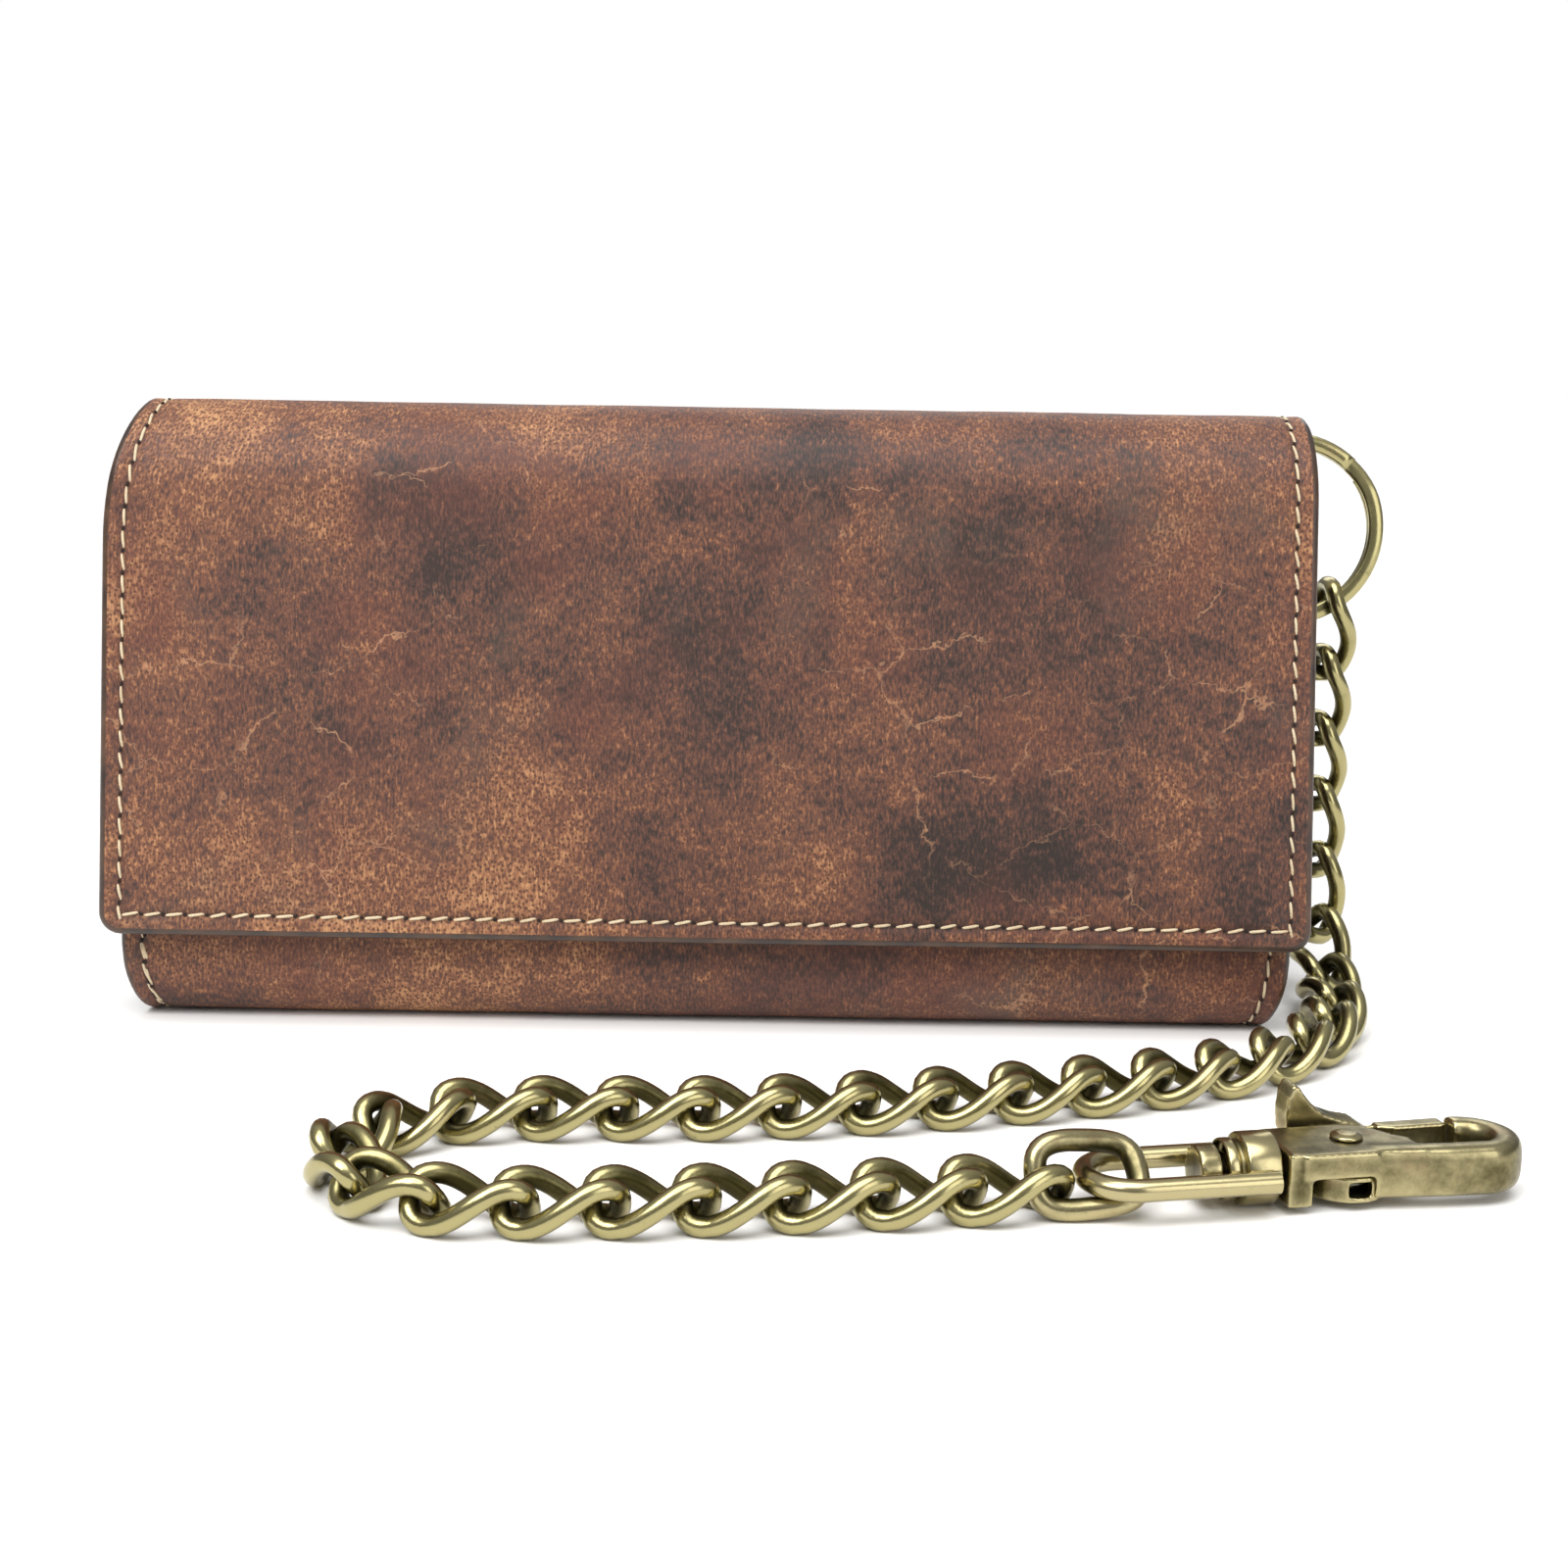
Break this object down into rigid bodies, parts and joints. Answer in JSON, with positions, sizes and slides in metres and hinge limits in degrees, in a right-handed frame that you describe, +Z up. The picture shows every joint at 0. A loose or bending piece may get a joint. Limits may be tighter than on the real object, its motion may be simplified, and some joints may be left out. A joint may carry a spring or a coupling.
{
  "type": "chain wallet",
  "caption": "Long leather wallet with a full cover flap, a zipped coin pocket, card pages, and a curb chain on a split ring that ends in a swivel trigger hook.",
  "frame": {"origin": "on the table under the middle of the wallet, on the flat of its bottom fold", "axes": "+X to the wallet's right as its flap faces the viewer, +Y to its back, +Z up; the wallet leans back by 6 degrees"},
  "size_m": [0.2062, 0.1322, 0.0972],
  "materials": {
    "leather": "distressed pull-up leather, satin",
    "inner_leather": "smooth lining leather",
    "pocket_cloth": "woven lining cloth",
    "zip_metal": "antique zip teeth on a dark tape",
    "antique_brass": "antique brass, worn",
    "spring_steel": "drawn wire"
  },
  "bodies": {
    "wallet": {"outer_shell": "leather", "shell_lining": "inner_leather", "card_page_front": "inner_leather", "card_page_back": "inner_leather", "card_slots": "inner_leather", "coin_pocket": "pocket_cloth", "zip_half_front": "zip_metal", "zip_half_back": "zip_metal", "gusset_left": "inner_leather", "gusset_right": "inner_leather", "snap_stud_left": "antique_brass", "snap_stud_right": "antique_brass", "ring_strap": "leather", "strap_rivet": "antique_brass"},
    "flap": {"flap": "leather", "flap_lining": "inner_leather", "snap_socket_left": "antique_brass", "snap_socket_right": "antique_brass"},
    "slider": {"zip_slider": "antique_brass"},
    "pull": {"zip_pull": "antique_brass"},
    "ring": {"split_ring": "antique_brass"},
    "link_01": {"chain_link_01": "antique_brass"},
    "link_02": {"chain_link_02": "antique_brass"},
    "link_03": {"chain_link_03": "antique_brass"},
    "link_04": {"chain_link_04": "antique_brass"},
    "link_05": {"chain_link_05": "antique_brass"},
    "link_06": {"chain_link_06": "antique_brass"},
    "link_07": {"chain_link_07": "antique_brass"},
    "link_08": {"chain_link_08": "antique_brass"},
    "link_09": {"chain_link_09": "antique_brass"},
    "link_10": {"chain_link_10": "antique_brass"},
    "link_11": {"chain_link_11": "antique_brass"},
    "link_12": {"chain_link_12": "antique_brass"},
    "link_13": {"chain_link_13": "antique_brass"},
    "link_14": {"chain_link_14": "antique_brass"},
    "link_15": {"chain_link_15": "antique_brass"},
    "link_16": {"chain_link_16": "antique_brass"},
    "link_17": {"chain_link_17": "antique_brass"},
    "link_18": {"chain_link_18": "antique_brass"},
    "link_19": {"chain_link_19": "antique_brass"},
    "link_20": {"chain_link_20": "antique_brass"},
    "link_21": {"chain_link_21": "antique_brass"},
    "link_22": {"chain_link_22": "antique_brass"},
    "link_23": {"chain_link_23": "antique_brass"},
    "link_24": {"chain_link_24": "antique_brass"},
    "link_25": {"chain_link_25": "antique_brass"},
    "link_26": {"chain_link_26": "antique_brass"},
    "link_27": {"chain_link_27": "antique_brass"},
    "link_28": {"chain_link_28": "antique_brass"},
    "link_29": {"chain_link_29": "antique_brass"},
    "link_30": {"chain_link_30": "antique_brass"},
    "link_31": {"chain_link_31": "antique_brass"},
    "link_32": {"chain_link_32": "antique_brass"},
    "end_link": {"end_link": "antique_brass"},
    "eye": {"swivel_eye": "antique_brass"},
    "hook": {"hook_body": "antique_brass", "lever_pin": "antique_brass", "lever_spring": "spring_steel"},
    "lever": {"hook_lever": "antique_brass"}
  },
  "joints": [
    {"name": "flap_hinge", "type": "hinge", "parent": "wallet", "child": "flap", "pos_m": [0, 0.00818, 0.1006], "axis": [-1, 0, 0], "range_deg": [0, 165]},
    {"name": "zip_slide", "type": "slide", "parent": "wallet", "child": "slider", "axis": [1, 0, 0], "range_m": [0, 0.132]},
    {"name": "zip_pull_swing", "type": "hinge", "parent": "slider", "child": "pull", "pos_m": [-0.066, 0.00733, 0.06977], "axis": [0, -0.9945, 0.1045], "range_deg": [0, 140]},
    {"name": "ring_swing", "type": "hinge", "parent": "wallet", "child": "ring", "pos_m": [0.08065, 0.02467, 0.07785], "axis": [0, 0.1045, 0.9945], "range_deg": [0, 40]},
    {"name": "end_link_swing", "type": "hinge", "parent": "link_32", "child": "end_link", "pos_m": [0.04662, -0.08949, 0.004], "axis": [-0.2079, 0.9781, 0], "range_deg": [-10, 10]},
    {"name": "eye_swing", "type": "hinge", "parent": "end_link", "child": "eye", "pos_m": [0.05142, -0.08847, 0.0049], "axis": [0.2079, -0.9781, 0], "range_deg": [-6, 25]},
    {"name": "hook_swivel", "type": "hinge", "parent": "eye", "child": "hook", "pos_m": [0.07636, -0.08317, 0.0049], "axis": [0.9781, 0.2079, 0], "continuous": true},
    {"name": "lever_press", "type": "hinge", "parent": "hook", "child": "lever", "pos_m": [0.08614, -0.08109, 0.0049], "axis": [0, 0, -1], "range_deg": [0, 18], "stiffness_Nm_per_rad": 0.03, "springref_deg": -17.19},
    {"name": "link_01_swing", "type": "hinge", "parent": "ring", "child": "link_01", "pos_m": [0.10278, 0.02334, 0.06694], "axis": [-1, 0, 0], "range_deg": [-8, 8]},
    {"name": "link_02_swing", "type": "hinge", "parent": "link_01", "child": "link_02", "pos_m": [0.10246, 0.02343, 0.05565], "axis": [1, 0, 0], "range_deg": [-12, 12]},
    {"name": "link_03_swing", "type": "hinge", "parent": "link_02", "child": "link_03", "pos_m": [0.10226, 0.02338, 0.04435], "axis": [-1, 0, 0], "range_deg": [-12, 12]},
    {"name": "link_04_swing", "type": "hinge", "parent": "link_03", "child": "link_04", "pos_m": [0.10236, 0.02343, 0.03305], "axis": [1, 0, 0], "range_deg": [-12, 12]},
    {"name": "link_05_swing", "type": "hinge", "parent": "link_04", "child": "link_05", "pos_m": [0.10237, 0.02154, 0.02191], "axis": [-1, 0, 0], "range_deg": [-12, 12]},
    {"name": "link_06_swing", "type": "hinge", "parent": "link_05", "child": "link_06", "pos_m": [0.10222, 0.01676, 0.01167], "axis": [1, -0.0084, 0], "range_deg": [-12, 12]},
    {"name": "link_07_swing", "type": "hinge", "parent": "link_06", "child": "link_07", "pos_m": [0.10214, 0.00716, 0.0057], "axis": [-0.9987, 0.0501, 0], "range_deg": [-20, 20]},
    {"name": "link_08_swing", "type": "hinge", "parent": "link_07", "child": "link_08", "pos_m": [0.10158, -0.00401, 0.00411], "axis": [0.969, -0.247, 0], "range_deg": [-20, 20]},
    {"name": "link_09_swing", "type": "hinge", "parent": "link_08", "child": "link_09", "pos_m": [0.09878, -0.01496, 0.00407], "axis": [-0.8848, 0.4659, 0], "range_deg": [-20, 20]},
    {"name": "link_10_swing", "type": "hinge", "parent": "link_09", "child": "link_10", "pos_m": [0.09352, -0.02496, 0.00399], "axis": [0.7289, -0.6847, 0], "range_deg": [-20, 20]},
    {"name": "link_11_swing", "type": "hinge", "parent": "link_10", "child": "link_11", "pos_m": [0.08578, -0.03319, 0.00392], "axis": [-0.574, 0.8189, 0], "range_deg": [-20, 20]},
    {"name": "link_12_swing", "type": "hinge", "parent": "link_11", "child": "link_12", "pos_m": [0.07653, -0.03968, 0.00388], "axis": [0.4424, -0.8968, 0], "range_deg": [-20, 20]},
    {"name": "link_13_swing", "type": "hinge", "parent": "link_12", "child": "link_13", "pos_m": [0.0664, -0.04468, 0.00387], "axis": [-0.3448, 0.9387, 0], "range_deg": [-20, 20]},
    {"name": "link_14_swing", "type": "hinge", "parent": "link_13", "child": "link_14", "pos_m": [0.05579, -0.04857, 0.00387], "axis": [0.308, -0.9514, 0], "range_deg": [-20, 20]},
    {"name": "link_15_swing", "type": "hinge", "parent": "link_14", "child": "link_15", "pos_m": [0.04504, -0.05205, 0.00387], "axis": [-0.2646, 0.9643, 0], "range_deg": [-20, 20]},
    {"name": "link_16_swing", "type": "hinge", "parent": "link_15", "child": "link_16", "pos_m": [0.03414, -0.05504, 0.00387], "axis": [0.2196, -0.9756, 0], "range_deg": [-20, 20]},
    {"name": "link_17_swing", "type": "hinge", "parent": "link_16", "child": "link_17", "pos_m": [0.02312, -0.05753, 0.00387], "axis": [-0.172, 0.9851, 0], "range_deg": [-20, 20]},
    {"name": "link_18_swing", "type": "hinge", "parent": "link_17", "child": "link_18", "pos_m": [0.01199, -0.05947, 0.00387], "axis": [0.1282, -0.9917, 0], "range_deg": [-20, 20]},
    {"name": "link_19_swing", "type": "hinge", "parent": "link_18", "child": "link_19", "pos_m": [0.00078, -0.06092, 0.00387], "axis": [-0.0468, 0.9989, 0], "range_deg": [-20, 20]},
    {"name": "link_20_swing", "type": "hinge", "parent": "link_19", "child": "link_20", "pos_m": [-0.01051, -0.06145, 0.00387], "axis": [0.0464, -0.9989, 0], "range_deg": [-20, 20]},
    {"name": "link_21_swing", "type": "hinge", "parent": "link_20", "child": "link_21", "pos_m": [-0.0218, -0.06197, 0.00387], "axis": [-0.1583, 0.9874, 0], "range_deg": [-20, 20]},
    {"name": "link_22_swing", "type": "hinge", "parent": "link_21", "child": "link_22", "pos_m": [-0.03295, -0.06376, 0.00387], "axis": [0.5667, -0.8239, 0], "range_deg": [-20, 20]},
    {"name": "link_23_swing", "type": "hinge", "parent": "link_22", "child": "link_23", "pos_m": [-0.04226, -0.07017, 0.00387], "axis": [-0.9467, 0.3221, 0], "range_deg": [-6, 6]},
    {"name": "link_24_swing", "type": "hinge", "parent": "link_23", "child": "link_24", "pos_m": [-0.0459, -0.08086, 0.00387], "axis": [0.9257, 0.3783, 0], "range_deg": [-6, 6]},
    {"name": "link_25_swing", "type": "hinge", "parent": "link_24", "child": "link_25", "pos_m": [-0.04163, -0.09132, 0.00387], "axis": [-0.5058, -0.8626, 0], "range_deg": [-6, 6]},
    {"name": "link_26_swing", "type": "hinge", "parent": "link_25", "child": "link_26", "pos_m": [-0.03188, -0.09704, 0.00387], "axis": [0.0736, 0.9973, 0], "range_deg": [-20, 20]},
    {"name": "link_27_swing", "type": "hinge", "parent": "link_26", "child": "link_27", "pos_m": [-0.02061, -0.09787, 0.00387], "axis": [0.0578, -0.9983, 0], "range_deg": [-20, 20]},
    {"name": "link_28_swing", "type": "hinge", "parent": "link_27", "child": "link_28", "pos_m": [-0.00933, -0.09722, 0.00387], "axis": [-0.1003, 0.995, 0], "range_deg": [-20, 20]},
    {"name": "link_29_swing", "type": "hinge", "parent": "link_28", "child": "link_29", "pos_m": [0.00191, -0.09608, 0.00387], "axis": [0.1265, -0.992, 0], "range_deg": [-20, 20]},
    {"name": "link_30_swing", "type": "hinge", "parent": "link_29", "child": "link_30", "pos_m": [0.01312, -0.09466, 0.00387], "axis": [-0.1397, 0.9902, 0], "range_deg": [-20, 20]},
    {"name": "link_31_swing", "type": "hinge", "parent": "link_30", "child": "link_31", "pos_m": [0.02431, -0.09308, 0.00387], "axis": [0.1636, -0.9865, 0], "range_deg": [-20, 20]},
    {"name": "link_32_swing", "type": "hinge", "parent": "link_31", "child": "link_32", "pos_m": [0.03546, -0.09123, 0.00387], "axis": [-0.1539, 0.9881, 0], "range_deg": [-20, 20]}
  ]
}
